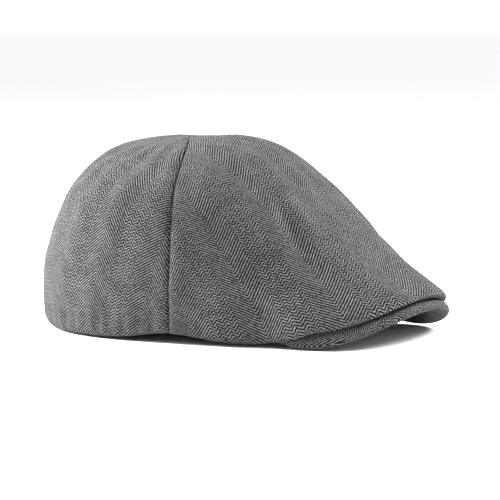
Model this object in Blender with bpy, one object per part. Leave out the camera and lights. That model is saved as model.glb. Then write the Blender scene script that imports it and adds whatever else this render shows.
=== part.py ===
"""Duckbill newsboy cap: a sewn three-panel crown over a stiff bill, with its lining, sweatband and trims.

Metres, +Z up. The front of the cap faces -Y and the wearer's left is +X. The origin is the middle of the
bottom of the bounding box, on the surface that the cap rests on. The crown is described in polar form
about a vertical axis through its apex: azimuth 0 is straight ahead, 90 degrees the side, 180 the back.
"""
import math

import bmesh
import bpy
import numpy as np

# --- Driving dimensions -------------------------------------------------------------------------------
APEX_Y = 0.0325             # apex axis, behind the origin
APEX_HEIGHT = 0.1198

HEAD_HALF_WIDTH = 0.0810    # inside of the sweatband, 565 mm round (between sizes 56 and 57)
HEAD_HALF_LENGTH = 0.0985
HEAD_CENTRE_Y = 0.0176
BAND_THICKNESS = 0.0010
BAND_HEIGHT = 0.0240

SHELL_THICKNESS = 0.0016    # woven shell cloth
LINING_THICKNESS = 0.0006
LINING_DEPTH = 0.0047       # outer face of the crown to outer face of the lining
LINING_CLEAR = 0.0043       # outside of the sweatband to the lining beside it
INTERFACING_DEPTH = 0.0029
INTERFACING_THICKNESS = 0.0008
SEAM_GAP = 0.0005           # between panels that meet at a seam
CLEARANCE = 0.0005          # between layers that touch

CROSS_SEAM = math.radians(69.7)      # azimuth of the ear-to-ear seam
CROSS_SEAM_EASE = 0.018              # radius where the seam turns square across the apex
SEAM_NOTCH = 0.0045                  # lift of the lower edge where the cross seam reaches it
SEAM_NOTCH_WIDTH = math.radians(15)

BILL_HALF_WIDTH = 0.0729
BILL_WIDEST_Y = -0.0764
BILL_TIP_Y = -0.1313
BILL_TAIL = 0.0700          # how far behind its widest line the bill's sides would close
BILL_POWER = 2.03
BILL_ARCH = 0.0256          # rise of the middle over the sides
BILL_PITCH = math.tan(math.radians(7.7))
BILL_LIFT = 0.0006          # its underside at the widest line's ends, above the table
BILL_THICKNESS = 0.0053
NOSE_RADIUS = BILL_THICKNESS / 2     # rounding of the bill's edge
BILL_COVER = 0.0014
BOARD_THICKNESS = 0.0018
BOARD_INSET = 0.0032
BILL_OVERLAP = 0.0042      # crown's lower edge behind the bill's edge
BILL_EMERGES = math.radians(37)      # azimuth where the bill comes out from under the crown
BILL_CLEAR = math.radians(31)        # azimuths between which the crown's edge climbs over the bill's edge
BILL_COVERED = math.radians(21)

THREAD_RADIUS = 0.00025
TAPE_THICKNESS = 0.0005
TAPE_WIDTH = 0.009
TAPE_DEPTH = 0.0031

# Rings of the crown, from the lowest roll to the top: reach to the side, front and back of the apex axis,
# the front outline's power, and the height at the side, front and back.
ROLL = dict(side=0.0884, front=0.1350, back=0.0891, power=2.4)
ROLL_HEIGHT = dict(side=0.0019, front=0.0019, back=-0.0006)
GIRTH = dict(side=0.0898, front=0.1355, back=0.0958, power=2.22)
GIRTH_HEIGHT = dict(side=0.0353, front=0.0452, back=0.0503)
SHOULDER = dict(side=0.0804, front=0.0917, back=0.0747, power=2.24)
SHOULDER_HEIGHT = dict(side=0.0849, front=0.0797, back=0.0916)
CAPPING = dict(side=0.0444, front=0.0497, back=0.0499, power=2.3)
CAPPING_HEIGHT = dict(side=0.1104, front=0.1138, back=0.1127)
WALL_BULGE = 1.3            # lower wall's reach from the roll towards the girth
WALL_RISE = 0.247           # lower wall's height between the roll and the girth
HEM_RISE = 0.0030           # the turned-in edge above the roll
HEM_ON_BILL = 0.0050        # width of the edge turned under on the bill
BACK_POWER = 2.1

TOP_STEP = 5.99             # last ring parameter before the apex, which is 6

# Colours (linear), roughness
CLOTH = ((0.120, 0.120, 0.122), 0.95)
DARK_CLOTH = ((0.055, 0.055, 0.057), 0.95)
SATIN = ((0.020, 0.020, 0.022), 0.45)
TWILL = ((0.018, 0.018, 0.019), 0.85)
FOAM = ((0.60, 0.59, 0.55), 0.95)
PLASTIC = ((0.75, 0.75, 0.72), 0.5)
TAPE = ((0.030, 0.030, 0.032), 0.9)
THREAD = ((0.050, 0.050, 0.052), 0.6)
ELASTIC = ((0.70, 0.70, 0.68), 0.85)
LABEL = ((0.55, 0.55, 0.54), 0.7)


# --- Small maths --------------------------------------------------------------------------------------
def smoothstep(value):
    value = np.clip(value, 0.0, 1.0)
    return value * value * (3 - 2 * value)


def soft_max(a, b, width):
    return width * np.logaddexp(a / width, b / width)


def soft_min(a, b, width):
    return -soft_max(-a, -b, width)


def plan_point(azimuth, radius):
    """Plan position of a point given in polar form about the apex axis."""
    return np.sin(azimuth) * radius, APEX_Y - np.cos(azimuth) * radius


def spread(start, stop, count):
    return np.linspace(0, 1, count)[None, :] * (stop - start)[:, None] + start[:, None]


# --- The outlines everything is built on --------------------------------------------------------------
def ring_radius(azimuth, side, front, back, power):
    ahead = np.cos(azimuth)
    reach = np.where(ahead > 0, front, back)
    shape = np.where(ahead > 0, power, BACK_POWER)
    return (np.abs(ahead / reach) ** shape + np.abs(np.sin(azimuth) / side) ** shape) ** (-1 / shape)


def ring_height(azimuth, side, front, back):
    ahead = np.cos(azimuth)
    return side + (front - side) * np.maximum(ahead, 0) ** 2 + (back - side) * np.maximum(-ahead, 0) ** 2


def head_radius(azimuth, grow=0.0):
    """Distance from the apex axis to the head oval, grown outwards by `grow`."""
    a, b = HEAD_HALF_WIDTH + grow, HEAD_HALF_LENGTH + grow
    x, y = np.sin(azimuth) / a, -np.cos(azimuth) / b
    start = (APEX_Y - HEAD_CENTRE_Y) / b
    square = x * x + y * y
    return (-y * start + np.sqrt((y * start) ** 2 - square * (start * start - 1))) / square


def bill_edge_radius(azimuth):
    """Distance from the apex axis to the bill's edge, by bisection from a point inside the bill."""
    low = np.full_like(azimuth, 0.1)
    high = np.full_like(azimuth, 0.3)
    for _ in range(40):
        radius = (low + high) / 2
        x, y = plan_point(azimuth, radius)
        ahead = BILL_WIDEST_Y - y
        reach = np.where(ahead > 0, BILL_WIDEST_Y - BILL_TIP_Y, BILL_TAIL)
        inside = np.abs(x / BILL_HALF_WIDTH) ** BILL_POWER + np.abs(ahead / reach) ** BILL_POWER < 1
        low = np.where(inside, radius, low)
        high = np.where(inside, high, radius)
    return (low + high) / 2


def edge_slant(azimuth):
    """Distance along a ray for each unit of distance square to the bill's edge."""
    nudge = 1e-4
    turn = (bill_edge_radius(azimuth + nudge) - bill_edge_radius(azimuth - nudge)) / (2 * nudge)
    return np.sqrt(1 + (turn / bill_edge_radius(azimuth)) ** 2)


def bill_face(x, y, height=0.0):
    """Height of a layer of the bill at a plan point, `height` above its middle layer along the normal.

    The middle layer is a board bent across its width and pitched down to the front.
    """
    middle = BILL_LIFT + NOSE_RADIUS + BILL_ARCH * (1 - (x / BILL_HALF_WIDTH) ** 2) + BILL_PITCH * (y - BILL_WIDEST_Y)
    slope = 2 * BILL_ARCH * x / BILL_HALF_WIDTH ** 2
    return middle + height * np.sqrt(1 + slope ** 2 + BILL_PITCH ** 2)


def roll_height(azimuth):
    """Height of the crown's lower edge away from the bill, with its lift at the cross seam."""
    from_seam = (np.abs(azimuth) - CROSS_SEAM) / SEAM_NOTCH_WIDTH
    return ring_height(azimuth, **ROLL_HEIGHT) + SEAM_NOTCH * np.exp(-from_seam ** 2)


# --- The crown's outer face ---------------------------------------------------------------------------
def lower_edge(azimuth):
    """The hem and the roll, as (radius, height) pairs: round the head behind, on top of the bill ahead."""
    turn = np.abs(azimuth)
    edge = bill_edge_radius(azimuth)
    ahead = turn < BILL_EMERGES + 0.2
    rim = ring_radius(azimuth, **ROLL)

    # Outside the bill's edge: the crown hangs past it.
    slant = np.where(ahead, edge_slant(np.minimum(turn, BILL_EMERGES)), 1.0)
    past_edge = edge + slant * (SHELL_THICKNESS + CLEARANCE)
    lift = 0.0022 * smoothstep((BILL_EMERGES - turn) / (BILL_EMERGES - BILL_CLEAR))
    outer_radius = np.where(ahead, soft_max(rim, past_edge, 0.0030), rim)
    outer_height = roll_height(azimuth) + lift
    hem_radius = head_radius(azimuth, BAND_THICKNESS + 0.0007)
    hem_radius = np.where(ahead, np.maximum(hem_radius, edge + slant * CLEARANCE), hem_radius)
    hem_height = outer_height + HEM_RISE * smoothstep((outer_radius - hem_radius) / 0.006)

    # On top of the bill.
    top_radius = edge - slant * BILL_OVERLAP
    top_height = bill_face(*plan_point(azimuth, top_radius), NOSE_RADIUS + 0.0013)
    top_hem_radius = top_radius - slant * HEM_ON_BILL
    top_hem_height = bill_face(*plan_point(azimuth, top_hem_radius), NOSE_RADIUS + 0.0010)

    # Over the edge, between the two.
    over_radius = edge + slant * 0.0030
    over_height = bill_face(*plan_point(azimuth, edge), NOSE_RADIUS + 0.0026)
    step = smoothstep((BILL_CLEAR - turn) / (BILL_CLEAR - BILL_COVERED))
    before, middle, after = (1 - step) ** 2, 2 * step * (1 - step), step ** 2
    roll = (before * outer_radius + middle * over_radius + after * top_radius,
            before * outer_height + middle * over_height + after * top_height)
    hem = (before * hem_radius + middle * (over_radius - SHELL_THICKNESS) + after * top_hem_radius,
           before * hem_height + middle * over_height + after * top_hem_height)
    return hem, roll


def crown_rings(azimuth):
    """Radii and heights of the crown's seven rings, from the hem to the apex."""
    hem, roll = lower_edge(azimuth)
    girth = (ring_radius(azimuth, **GIRTH), ring_height(azimuth, **GIRTH_HEIGHT))
    wall = (roll[0] + WALL_BULGE * (np.maximum(girth[0], roll[0] + 0.001) - roll[0]),
            roll[1] + WALL_RISE * (girth[1] - roll[1]))
    shoulder = (ring_radius(azimuth, **SHOULDER), ring_height(azimuth, **SHOULDER_HEIGHT))
    capping = (ring_radius(azimuth, **CAPPING), ring_height(azimuth, **CAPPING_HEIGHT))
    apex = (np.zeros_like(azimuth), np.full_like(azimuth, APEX_HEIGHT))
    rings = (hem, roll, wall, girth, shoulder, capping, apex)
    return np.array([ring[0] for ring in rings]), np.array([ring[1] for ring in rings])


def catmull_rom(values, step, beyond):
    """Smooth curve through ring values; `beyond` is the value one ring past the apex."""
    table = np.concatenate([2 * values[:1] - values[1:2], values, beyond[None]])
    whole = np.minimum(step.astype(int), len(values) - 2)
    part = step - whole
    a, b, c, d = (np.take_along_axis(table, (whole + k)[None], 0)[0] for k in range(4))
    return 0.5 * (2 * b + (c - a) * part + (2 * a - 5 * b + 4 * c - d) * part ** 2
                  + (3 * b - a - 3 * c + d) * part ** 3)


def crown_profile(azimuth, step):
    """Radius and height of the crown's outer face at an azimuth and a ring parameter (0 hem, 6 apex).

    Behind, the roll lies flattened on the table.
    """
    azimuth, step = np.broadcast_arrays(np.asarray(azimuth, float), np.asarray(step, float))
    radii, heights = crown_rings(azimuth.ravel())
    radius = catmull_rom(radii, step.ravel(), -radii[-2])
    height = np.maximum(catmull_rom(heights, step.ravel(), heights[-2]), 0.0)
    return radius.reshape(step.shape), height.reshape(step.shape)


def crown_points(azimuth, step, depth=0.0):
    """Points on the crown, moved inwards along its normal by `depth`."""
    def outer(a, s):
        radius, height = crown_profile(a, s)
        x, y = plan_point(a, radius)
        return np.stack([x, y, height], -1)

    azimuth, step = np.broadcast_arrays(np.asarray(azimuth, float), np.asarray(step, float))
    points = outer(azimuth, step)
    if depth == 0:
        return points
    nudge = 1e-4
    along = outer(azimuth, step + nudge) - outer(azimuth, step - nudge)
    across = outer(azimuth + nudge, step) - outer(azimuth - nudge, step)
    normal = np.cross(across, along)
    return points - depth * normal / np.linalg.norm(normal, axis=-1, keepdims=True)


def cross_seam_azimuth(step):
    """Azimuth of the cross seam, which turns square across the cap near the apex, and its radius."""
    radius = crown_profile(np.full_like(step, CROSS_SEAM), step)[0]
    return CROSS_SEAM + (math.pi / 2 - CROSS_SEAM) * np.exp(-(radius / CROSS_SEAM_EASE) ** 2), radius


def seam_margin(radius, width):
    """Angle that a distance beside a seam takes up at a radius."""
    return np.arcsin(np.minimum(width / radius, 0.9))


def front_columns(step, shares, margin):
    """Azimuths across the front, at shares of the way from the middle to the cross seam on each side."""
    seam, radius = cross_seam_azimuth(step)
    limit = seam - seam_margin(radius, margin)
    return limit[:, None] * np.concatenate([-shares[:0:-1], shares])[None, :]


def back_columns(step, count, margin, side):
    """Azimuths from the cross seam round to the back seam, on the side given by its sign."""
    seam, radius = cross_seam_azimuth(step)
    angle = seam_margin(radius, margin)
    columns = spread(seam + angle, math.pi - angle, count)
    return columns if side > 0 else -columns[:, ::-1]


# --- Making objects -----------------------------------------------------------------------------------
def clear_scene():
    for item in list(bpy.data.objects):
        bpy.data.objects.remove(item, do_unlink=True)


def material(name, finish):
    colour, roughness = finish
    made = bpy.data.materials.new(name)
    made.use_nodes = True
    shader = made.node_tree.nodes["Principled BSDF"]
    shader.inputs["Base Color"].default_value = (*colour, 1)
    shader.inputs["Roughness"].default_value = roughness
    shader.inputs["Metallic"].default_value = 0.0
    return made


def place(name, data, finish):
    made = bpy.data.objects.new(name, data)
    bpy.context.collection.objects.link(made)
    data.materials.append(material(name + "_finish", finish))
    return made


def sheet(name, points, thickness, finish, inward=True, closed=False):
    """A cloth sheet from a grid of points, given thickness on one side by a Solidify modifier."""
    rows, columns = points.shape[:2]
    mesh = bpy.data.meshes.new(name)
    work = bmesh.new()
    grid = [[work.verts.new(points[row, column]) for column in range(columns)] for row in range(rows)]
    last = columns if closed else columns - 1
    for row in range(rows - 1):
        for column in range(last):
            following = (column + 1) % columns
            work.faces.new((grid[row][column], grid[row][following],
                            grid[row + 1][following], grid[row + 1][column]))
    work.to_mesh(mesh)
    work.free()
    mesh.shade_smooth()
    made = place(name, mesh, finish)
    solid = made.modifiers.new("Thickness", "SOLIDIFY")
    solid.thickness = thickness
    solid.offset = -1 if inward else 1
    solid.use_even_offset = True
    return made


def thread(name, points, closed=False):
    """One continuous thread laid along a seam."""
    data = bpy.data.curves.new(name, "CURVE")
    data.dimensions = "3D"
    data.bevel_depth = THREAD_RADIUS
    data.bevel_resolution = 0
    data.use_fill_caps = True
    spline = data.splines.new("POLY")
    spline.points.add(len(points) - 1)
    for point, position in zip(spline.points, points):
        point.co = (*position, 1)
    spline.use_cyclic_u = closed
    return place(name, data, THREAD)


# --- Crown --------------------------------------------------------------------------------------------
# Rows of the shell from the hem to the apex. The layers under it share them, so their facets run parallel.
SHELL_STEPS = np.array([0, 0.35, 0.7, 1, 1.3, 1.6, 2, 2.4, 2.7, 3, 3.3, 3.6, 3.9, 4.2, 4.5, 4.8, 5.1, 5.4, 5.7,
                        TOP_STEP])
TAPED_STEPS = SHELL_STEPS[6:]
# Columns of the front panel, as shares of the cross seam's azimuth, closer where its edge climbs the bill.
FRONT_SHARES = np.array([0, 7, 14, 19, 22.5, 25.5, 28.5, 31.5, 34.5, 37.5, 42, 48, 55, 62, 69.7]) / 69.7
BACK_COUNT = 19


def shell_panels():
    steps = SHELL_STEPS
    half_gap = SEAM_GAP / 2
    panels = {
        "front_panel": front_columns(steps, FRONT_SHARES, half_gap),
        "back_panel_left": back_columns(steps, BACK_COUNT, half_gap, +1),
        "back_panel_right": back_columns(steps, BACK_COUNT, half_gap, -1),
    }
    for name, columns in panels.items():
        sheet(name, crown_points(columns, steps[:, None]), SHELL_THICKNESS, CLOTH)


def front_interfacing():
    """Stiff fused layer that keeps the front panel's slope smooth."""
    steps = SHELL_STEPS[8:-3]
    columns = front_columns(steps, np.linspace(0, 1, 10), 0.010)
    sheet("front_interfacing", crown_points(columns, steps[:, None], INTERFACING_DEPTH),
          INTERFACING_THICKNESS, TAPE)


def lining_bottom(azimuth):
    """Height where the lining starts, above the hem and above the bill's root."""
    root = plan_point(azimuth, head_radius(azimuth, LINING_CLEAR))
    over_bill = np.where(np.cos(azimuth) > 0, bill_face(*root, NOSE_RADIUS), -0.05)
    return soft_max(roll_height(azimuth) + 0.0095, over_bill + 0.0025, 0.002)


def lining_columns(azimuth, steps, share):
    """Lining points, one column for each column of azimuths, at shares of the way up to the apex.

    The lining runs inside the crown, but straight up from the sweatband where the crown runs forward.
    """
    points = crown_points(azimuth, steps[:, None], LINING_DEPTH)
    radius = np.hypot(points[..., 0], points[..., 1] - APEX_Y)
    turn = np.arctan2(points[..., 0], APEX_Y - points[..., 1])
    limit = head_radius(turn, BAND_THICKNESS + LINING_CLEAR)
    points[..., 0], points[..., 1] = plan_point(turn, soft_min(radius, limit, 0.0008))
    columns = []
    for column in np.moveaxis(points, 1, 0):
        ahead = np.arctan2(column[0, 0], APEX_Y - column[0, 1])
        start = np.interp(lining_bottom(np.array([ahead]))[0], column[:, 2], np.arange(len(column)))
        length = np.concatenate([[0], np.cumsum(np.linalg.norm(np.diff(column, axis=0), axis=1))])
        first = np.interp(start, np.arange(len(column)), length)
        places = first + (length[-1] - first) * share
        columns.append([[np.interp(place, length, column[:, axis]) for axis in range(3)] for place in places])
    return np.moveaxis(np.array(columns), 0, 1)


def lining():
    share = np.array([0, 0.07, 0.14, 0.21, 0.28, 0.36, 0.45, 0.55, 0.65, 0.75, 0.84, 0.92, 1.0])
    steps = np.linspace(0.8, TOP_STEP, 140)
    pieces = {
        "lining_front": front_columns(steps, np.linspace(0, 1, 9), SEAM_GAP / 2),
        "lining_back_left": back_columns(steps, 11, SEAM_GAP / 2, +1),
        "lining_back_right": back_columns(steps, 11, SEAM_GAP / 2, -1),
    }
    for name, azimuth in pieces.items():
        sheet(name, lining_columns(azimuth, steps, share), LINING_THICKNESS, SATIN)


def cross_seam_route(depth):
    """Ear to ear over the apex, following the cross seam."""
    azimuth = cross_seam_azimuth(TAPED_STEPS)[0]
    left = crown_points(azimuth, TAPED_STEPS, depth)
    right = crown_points(-azimuth, TAPED_STEPS, depth)[::-1]
    return np.concatenate([left, right])


def back_seam_route(depth):
    """Up the back, stopping short of the apex."""
    steps = TAPED_STEPS[:-2]
    return crown_points(np.full_like(steps, math.pi), steps, depth)


def strip(route, outer_route, width):
    """A flat tape of a width, laid along a route with its face towards the matching outer route."""
    along = np.gradient(route, axis=0)
    across = np.cross(along, outer_route - route)
    across *= width / 2 / np.linalg.norm(across, axis=1, keepdims=True)
    return np.stack([route - across, route + across], 1)


def seam_reinforcement():
    """Stay tapes and stitching over the crown's seam allowances."""
    for name, route in (("cross_seam", cross_seam_route), ("back_seam", back_seam_route)):
        sheet(name + "_tape", strip(route(TAPE_DEPTH), route(0), TAPE_WIDTH), TAPE_THICKNESS, TAPE)
        thread(name + "_stitch", route(SHELL_THICKNESS + CLEARANCE + THREAD_RADIUS))


# --- Sweatband and what sits behind it ----------------------------------------------------------------
def band_bottom(azimuth):
    """Lower edge of the sweatband: at the hem behind, at the bill's root ahead."""
    root = bill_face(*plan_point(azimuth, head_radius(azimuth)), -NOSE_RADIUS)
    root = np.where(np.cos(azimuth) > 0, root, -0.05)
    return soft_max(roll_height(azimuth) + HEM_RISE - 0.001, root, 0.0015)


def band_points(azimuth, grow, low, high):
    """A sheet that follows the head oval, between two heights above the sweatband's lower edge."""
    x, y = plan_point(azimuth, head_radius(azimuth, grow))
    bottom = band_bottom(azimuth)
    return np.array([np.stack([x, y, bottom + rise], -1) for rise in (low, high)])


def sweatband():
    azimuth = np.linspace(0, 2 * math.pi, 60, endpoint=False)
    azimuth = np.where(azimuth > math.pi, azimuth - 2 * math.pi, azimuth)
    sheet("sweatband", band_points(azimuth, BAND_THICKNESS, 0, BAND_HEIGHT), BAND_THICKNESS, TWILL,
          closed=True)
    x, y = plan_point(azimuth, head_radius(azimuth, BAND_THICKNESS / 2))
    stitch = np.stack([x, y, band_bottom(azimuth) - 0.0003 - THREAD_RADIUS], -1)
    thread("sweatband_stitch", stitch, closed=True)


def sweatband_padding():
    """Foam strip behind the sweatband across the forehead."""
    azimuth = np.radians(np.linspace(-44, 44, 19))
    sheet("sweatband_padding", band_points(azimuth, BAND_THICKNESS + 0.0018, 0.0070, 0.0200), 0.0014, FOAM)


def back_elastic():
    """Elastic strip behind the sweatband at the back of the head."""
    azimuth = math.pi + np.radians(np.linspace(-52, 52, 21))
    sheet("back_elastic", band_points(azimuth, BAND_THICKNESS + 0.0014, 0.0070, 0.0220), 0.0010, ELASTIC)


# --- Bill ---------------------------------------------------------------------------------------------
BILL_LIMIT = math.radians(36.5)      # azimuth of the bill's rear corners
BILL_COLUMNS = np.linspace(-BILL_LIMIT, BILL_LIMIT, 33)


def edge_frame(azimuth):
    """Plan points of the bill's edge, and the inward direction square to it."""
    nudge = 1e-4
    edge = np.stack(plan_point(azimuth, bill_edge_radius(azimuth)), -1)
    ahead = np.stack(plan_point(azimuth + nudge, bill_edge_radius(azimuth + nudge)), -1)
    along = (ahead - edge) / np.linalg.norm(ahead - edge, axis=-1, keepdims=True)
    return edge, np.stack([-along[:, 1], along[:, 0]], -1)


def bill_line(inset, height, azimuth=BILL_COLUMNS):
    """A line of points at a distance inside the bill's edge, `height` above its middle layer."""
    edge, inward = edge_frame(azimuth)
    x, y = np.moveaxis(edge + inset * inward, -1, 0)
    return np.stack([x, y, bill_face(x, y, height)], -1)


def bill_field(inset, height, root_clear, count=6):
    """Rows of points from just inside the bill's edge back to its root round the head."""
    edge, inward = edge_frame(BILL_COLUMNS)
    front = edge + inset * inward
    root = np.stack(plan_point(BILL_COLUMNS, head_radius(BILL_COLUMNS, root_clear)), -1)
    rows = []
    for share in np.linspace(0, 1, count):
        x, y = np.moveaxis(front + (root - front) * share, -1, 0)
        rows.append(np.stack([x, y, bill_face(x, y, height)], -1))
    return rows


def bill_cover(name, side, finish):
    """Cloth over one face of the bill, turned round its edge to the middle."""
    radius = NOSE_RADIUS - BILL_COVER / 2
    rows = [bill_line(NOSE_RADIUS - radius * math.cos(angle), side * radius * math.sin(angle))
            for angle in np.radians([12, 38, 64])]
    rows += bill_field(NOSE_RADIUS, side * radius, BAND_THICKNESS + CLEARANCE)
    made = sheet(name, np.array(rows)[::side], BILL_COVER, finish)
    made.modifiers["Thickness"].offset = 0


def bill_board():
    """Stiff plastic board between the covers."""
    rows = bill_field(BOARD_INSET, 0.0, BAND_THICKNESS + 0.0015)
    made = sheet("bill_board", np.array(rows), BOARD_THICKNESS, PLASTIC)
    made.modifiers["Thickness"].offset = 0


def bill_stitches():
    """The seam inside the bill's edge, and the one that tacks the crown down on the bill."""
    thread("bill_edge_stitch", bill_line(NOSE_RADIUS - 0.0006, 0.0))
    tack = np.radians(np.linspace(-19, 19, 25))
    inset = BILL_OVERLAP + HEM_ON_BILL + 0.0012
    thread("front_tack_stitch", bill_line(inset, NOSE_RADIUS + 0.0003 + THREAD_RADIUS, tack))


# --- Labels -------------------------------------------------------------------------------------------
LABEL_THICKNESS = 0.0003
CARE_LABEL_WIDTH = 0.020
CARE_LABEL_LENGTH = 0.028
CARE_LABEL_TOP = 0.0400
CARE_LABEL_GAP = 0.0012


def size_label():
    """Blank tab sewn flat to the inside of the sweatband at the back."""
    azimuth = math.pi + np.radians(np.linspace(-7, 7, 7))
    points = band_points(azimuth, -0.0005, 0.0060, 0.0190)
    sheet("size_label", points, LABEL_THICKNESS, LABEL)


def crown_label():
    """Blank woven patch on the lining, high at the back of the crown."""
    steps = np.linspace(0.8, TOP_STEP, 140)
    azimuth = math.pi + np.radians(np.linspace(-17, 17, 5))
    points = lining_columns(np.broadcast_to(azimuth, (len(steps), 5)), steps, np.array([0.36, 0.43, 0.50]))
    inward = np.array([0, APEX_Y, 0.03]) - points
    points += inward / np.linalg.norm(inward, axis=-1, keepdims=True) * 0.0022
    sheet("crown_label", points, LABEL_THICKNESS, LABEL)


def care_label():
    """Blank care label hanging from its sewn top edge, which is its hinge line."""
    across = np.linspace(-0.5, 0.5, 3) * CARE_LABEL_WIDTH
    down = np.linspace(0, -1, 4) * CARE_LABEL_LENGTH
    points = np.array([[(0, y, z) for y in across] for z in down])
    made = sheet("care_label", points, LABEL_THICKNESS, LABEL)
    made.location = (HEAD_HALF_WIDTH - CARE_LABEL_GAP, HEAD_CENTRE_Y, CARE_LABEL_TOP)
    return made


def build():
    clear_scene()
    shell_panels()
    front_interfacing()
    lining()
    seam_reinforcement()
    sweatband()
    sweatband_padding()
    back_elastic()
    bill_cover("bill_top_cover", +1, CLOTH)
    bill_cover("bill_under_cover", -1, DARK_CLOTH)
    bill_board()
    bill_stitches()
    size_label()
    crown_label()
    care_label()


build()
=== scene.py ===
"""Looks of the newsboy cap: herringbone crown and bill, satin lining, twill sweatband, labels and stitches.

The outlines repeat those of the CAD model, in metres and in its frame: the front of the cap faces -Y, and the
crown is described in polar form about a vertical axis through its apex (azimuth 0 is straight ahead). Ring
parameter: 0 hem, 1 roll, 2 wall, 3 girth, 4 shoulder, 5 capping, 6 apex.
"""
import math

import bpy
import numpy as np
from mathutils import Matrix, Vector


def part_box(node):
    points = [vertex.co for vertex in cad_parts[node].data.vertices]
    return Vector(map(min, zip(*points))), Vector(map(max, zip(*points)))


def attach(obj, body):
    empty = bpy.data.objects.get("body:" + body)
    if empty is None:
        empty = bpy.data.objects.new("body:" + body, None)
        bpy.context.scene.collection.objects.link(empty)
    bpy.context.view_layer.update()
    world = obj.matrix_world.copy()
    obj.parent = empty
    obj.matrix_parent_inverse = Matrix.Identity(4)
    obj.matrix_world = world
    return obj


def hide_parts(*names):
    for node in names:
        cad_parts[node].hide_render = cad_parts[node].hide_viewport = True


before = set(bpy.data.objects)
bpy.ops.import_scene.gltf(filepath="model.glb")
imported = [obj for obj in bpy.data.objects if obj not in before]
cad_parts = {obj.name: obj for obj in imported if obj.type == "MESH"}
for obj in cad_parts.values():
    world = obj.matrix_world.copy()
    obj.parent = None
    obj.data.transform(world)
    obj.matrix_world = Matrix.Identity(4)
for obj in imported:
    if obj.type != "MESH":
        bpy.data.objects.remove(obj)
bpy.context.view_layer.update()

# --- Sizes shared with the CAD model ------------------------------------------------------------------
APEX_Y = 0.0325
APEX_HEIGHT = 0.1198
HEAD_HALF_WIDTH = 0.0810
HEAD_HALF_LENGTH = 0.0985
HEAD_CENTRE_Y = 0.0176
BAND_THICKNESS = 0.0010
BAND_HEIGHT = 0.0240
SHELL_THICKNESS = 0.0016
LINING_THICKNESS = 0.0006
LINING_DEPTH = 0.0047
LINING_CLEAR = 0.0043
CROSS_SEAM = math.radians(69.7)
CROSS_SEAM_EASE = 0.018
SEAM_NOTCH = 0.0045
SEAM_NOTCH_WIDTH = math.radians(15)
BILL_HALF_WIDTH = 0.0729
BILL_WIDEST_Y = -0.0764
BILL_TIP_Y = -0.1313
BILL_TAIL = 0.0700
BILL_POWER = 2.03
BILL_ARCH = 0.0256
BILL_PITCH = math.tan(math.radians(7.7))
BILL_LIFT = 0.0006
NOSE_RADIUS = 0.00265
BILL_COVER = 0.0014
BILL_OVERLAP = 0.0042
ROLL = dict(side=0.0884, front=0.1350, back=0.0891, power=2.4)
ROLL_HEIGHT = dict(side=0.0019, front=0.0019, back=-0.0006)
GIRTH = dict(side=0.0898, front=0.1355, back=0.0958, power=2.22)
GIRTH_HEIGHT = dict(side=0.0353, front=0.0452, back=0.0503)
SHOULDER = dict(side=0.0804, front=0.0917, back=0.0747, power=2.24)
SHOULDER_HEIGHT = dict(side=0.0849, front=0.0797, back=0.0916)
CAPPING = dict(side=0.0444, front=0.0497, back=0.0499, power=2.3)
CAPPING_HEIGHT = dict(side=0.1104, front=0.1138, back=0.1127)
WALL_BULGE = 1.3
WALL_RISE = 0.247
HEM_RISE = 0.0030
HEM_ON_BILL = 0.0050
BACK_POWER = 2.1
LAST_STEP = 5.985           # ring parameter of the panels' last row; 6 is the apex

# Azimuths at the bill's ends, a few degrees further back than in the CAD model
BILL_EMERGES = math.radians(41)
BILL_CLEAR = math.radians(37)
BILL_COVERED = math.radians(28)
BILL_LIMIT = math.radians(38.5)
HEM_SETTLED = 0.22          # how far past the bill's ends, in radians, the hem is back at the head
HEM_SETTLING = 0.20
ROOT_END = 0.95             # azimuth in radians where the bill's root starts to sink, and over what angle
ROOT_FADE = 0.45
ROOT_SINK = 0.10

# --- Camera -------------------------------------------------------------------------------------------
VIEW_AZIMUTH = math.radians(-58.9)
VIEW_ELEVATION = math.radians(5.2)
VIEW_DISTANCE = 1.56
VIEW_TARGET = (0.0, 0.0187, 0.055)
LENS = 180.0                # on a 36 mm sensor
VIEW_SHIFT = (0.0654, -0.0227)

# --- Cloth pattern, in millimetres --------------------------------------------------------------------
REPEAT = 38.0               # two wide strips of twill and six narrow ones
WIDE_STRIP = 11.5
NARROW_STRIP = 2.5
TWILL_PITCH = 2.05          # along the strip; the lines run at 45 degrees
FRONT_GRAIN = (0.0, -0.43, -0.90)        # direction of the front panel's strips
FRONT_SPINE = (-0.076, -0.025, 0.063)    # a place in metres on a wide pair's spine of the front panel
BACK_SPINE = 10.0           # spine of the pair beside the cross seam on a back panel, from the seam
BACK_GRAIN = (0.41, 0.29, -0.87)         # direction of the left back panel's strips
SEAM_FOOT = (0.0865, 0.004, 0.030)       # a place in metres near the foot of the left side's cross seam
FIT_ROUNDS = 900


# --- Small maths --------------------------------------------------------------------------------------
def smoothstep(value):
    value = np.clip(value, 0.0, 1.0)
    return value * value * (3 - 2 * value)


def soft_max(a, b, width):
    return width * np.logaddexp(a / width, b / width)


def soft_min(a, b, width):
    return -soft_max(-a, -b, width)


def bump(distance, width):
    return np.exp(-(distance / width) ** 2)


def plan_point(azimuth, radius):
    return np.sin(azimuth) * radius, APEX_Y - np.cos(azimuth) * radius


def normalised(vectors):
    return vectors / np.maximum(np.linalg.norm(vectors, axis=-1, keepdims=True), 1e-12)


def grid_normals(points):
    """Outward normals of a grid whose rows climb and whose columns run with the azimuth."""
    along = np.gradient(points, axis=0)
    across = np.gradient(points, axis=1)
    return normalised(np.cross(across, along))


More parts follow.
